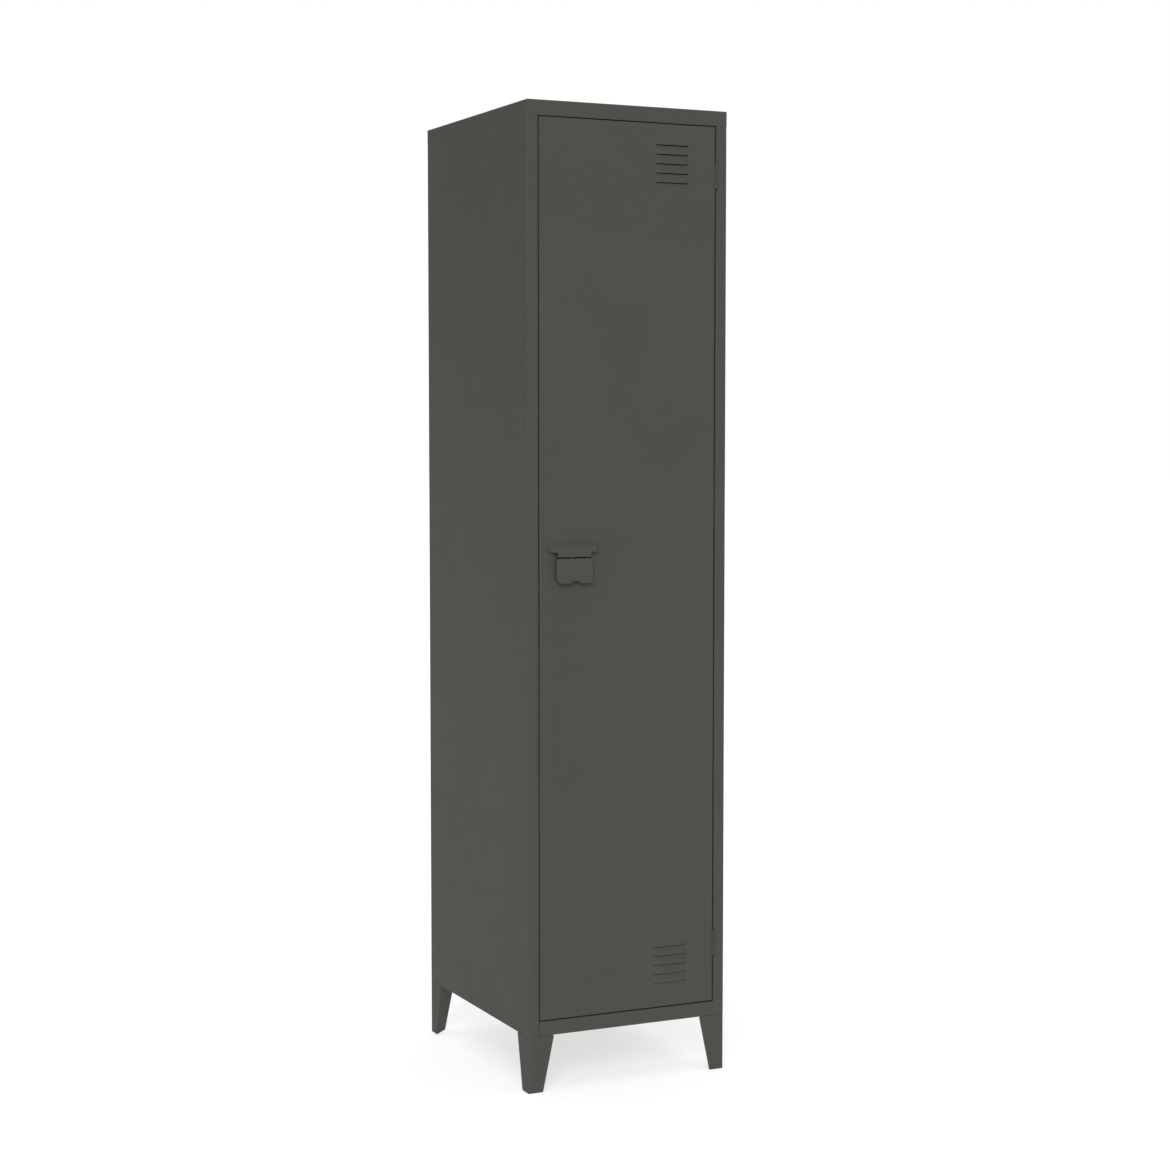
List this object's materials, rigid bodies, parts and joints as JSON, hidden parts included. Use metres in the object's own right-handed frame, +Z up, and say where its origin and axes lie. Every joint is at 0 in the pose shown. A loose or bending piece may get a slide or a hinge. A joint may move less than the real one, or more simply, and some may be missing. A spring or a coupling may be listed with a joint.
{
  "type": "locker cabinet",
  "caption": "Tall sheet-steel locker with a louvered hinged door, pull handle with latch bar, hat shelf and coat rail, on folded corner legs.",
  "frame": {"origin": "on the floor under the middle of the cabinet body", "axes": "+X to the right seen from the front, the door faces -Y, +Z up"},
  "size_m": [0.415, 0.513, 1.85],
  "materials": {
    "powder_coat": "matt grey powder coat on folded steel sheet",
    "zinc": "dull zinc plating",
    "spring_steel": "drawn spring wire",
    "foot_plastic": "black moulded plastic",
    "buffer_rubber": "black rubber"
  },
  "bodies": {
    "cabinet": {"top_cap": "powder_coat", "side_panel_left": "powder_coat", "side_panel_right": "powder_coat", "back_panel": "powder_coat", "floor_pan": "powder_coat", "bottom_rail": "powder_coat", "door_head_stop": "powder_coat", "leg_front_left": "powder_coat", "leg_front_right": "powder_coat", "leg_back_left": "powder_coat", "leg_back_right": "powder_coat", "foot_plug_front_left": "foot_plastic", "foot_plug_front_right": "foot_plastic", "foot_plug_back_left": "foot_plastic", "foot_plug_back_right": "foot_plastic", "hat_shelf": "powder_coat", "shelf_clip_front_left": "zinc", "shelf_clip_front_right": "zinc", "shelf_clip_back_left": "zinc", "shelf_clip_back_right": "zinc", "coat_rail": "zinc", "rail_socket_left": "zinc", "rail_socket_right": "zinc", "strike_lower": "zinc", "strike_middle": "zinc", "strike_upper": "zinc", "door_buffer_lower": "buffer_rubber", "door_buffer_middle": "buffer_rubber", "door_buffer_upper": "buffer_rubber", "hinge_frame_leaf_lower": "powder_coat", "hinge_frame_leaf_upper": "powder_coat", "hinge_pin_lower": "powder_coat", "hinge_pin_upper": "powder_coat"},
    "door": {"door_skin": "powder_coat", "door_stiffener": "powder_coat", "hinge_door_leaf_lower": "powder_coat", "hinge_door_leaf_upper": "powder_coat", "handle_hood": "powder_coat", "handle_backing_plate": "zinc", "handle_pivot_pin": "zinc", "handle_return_spring": "spring_steel", "hood_screw_left": "zinc", "hood_screw_right": "zinc", "latch_guide_1": "zinc", "latch_guide_2": "zinc", "latch_guide_3": "zinc", "latch_guide_4": "zinc"},
    "handle": {"handle_paddle": "powder_coat"},
    "latch": {"latch_bar": "zinc", "latch_hook_lower": "zinc", "latch_hook_middle": "zinc", "latch_hook_upper": "zinc"}
  },
  "joints": [
    {"name": "door_hinge", "type": "hinge", "parent": "cabinet", "child": "door", "pos_m": [0.1859, -0.249, 0.98], "axis": [0, 0, 1], "range_deg": [0, 135]},
    {"name": "handle_pull", "type": "hinge", "parent": "door", "child": "handle", "pos_m": [-0.1155, -0.2553, 1.012], "axis": [-1, 0, 0], "range_deg": [0, 30], "stiffness_Nm_per_rad": 0.5, "springref_deg": -14.32},
    {"name": "latch_slide", "type": "slide", "parent": "door", "child": "latch", "axis": [0, 0, -1], "range_m": [0, 0.0075]}
  ],
  "couplings": [
    {"joint": "latch_slide", "follows": "handle_pull", "m_per_rad": 0.0143}
  ]
}
